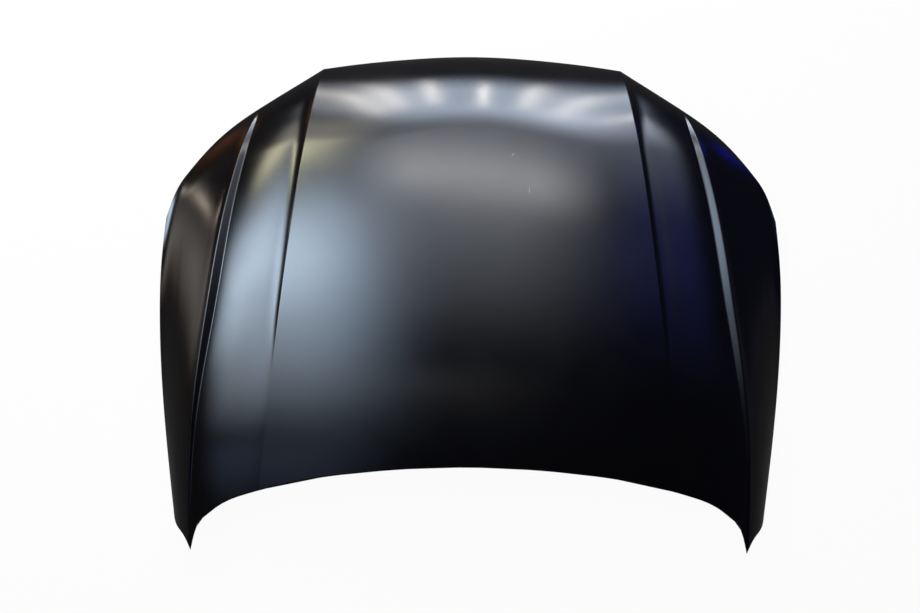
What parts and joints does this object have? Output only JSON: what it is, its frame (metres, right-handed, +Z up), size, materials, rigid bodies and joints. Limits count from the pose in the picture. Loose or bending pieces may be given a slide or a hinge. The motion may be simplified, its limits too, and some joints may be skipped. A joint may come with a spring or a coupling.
{
  "type": "car bonnet",
  "caption": "Clamshell car bonnet in pressed steel with a raised dome, hemmed inner frame, hinge seats and striker, in black primer.",
  "frame": {"origin": "on the floor, under the middle of the bonnet's box", "axes": "+X to the right-hand side, +Y to the nose, +Z up; the skin faces up"},
  "size_m": [1.7034, 1.36, 0.1962],
  "materials": {
    "primer": "black electro-dip primer, satin",
    "zinc": "bright zinc plate",
    "mastic": "cured anti-flutter mastic, matt"
  },
  "bodies": {
    "root": {"hinge_nut_left_front": "zinc", "hinge_nut_left_rear": "zinc", "hinge_nut_right_front": "zinc", "hinge_nut_right_rear": "zinc", "hinge_reinforcement_left": "primer", "hinge_reinforcement_right": "primer", "inner_frame": "primer", "mastic_centre_front_left": "mastic", "mastic_centre_front_right": "mastic", "mastic_centre_rear_left": "mastic", "mastic_centre_rear_right": "mastic", "mastic_middle_front_left": "mastic", "mastic_middle_front_right": "mastic", "mastic_middle_rear_left": "mastic", "mastic_middle_rear_right": "mastic", "mastic_valley_front_left": "mastic", "mastic_valley_front_right": "mastic", "mastic_valley_rear_left": "mastic", "mastic_valley_rear_right": "mastic", "outer_skin": "primer", "striker_bolt_left": "zinc", "striker_bolt_right": "zinc", "striker_loop": "zinc", "striker_nut_left": "zinc", "striker_nut_right": "zinc", "striker_plate": "zinc", "striker_reinforcement": "primer"}
  },
  "joints": []
}
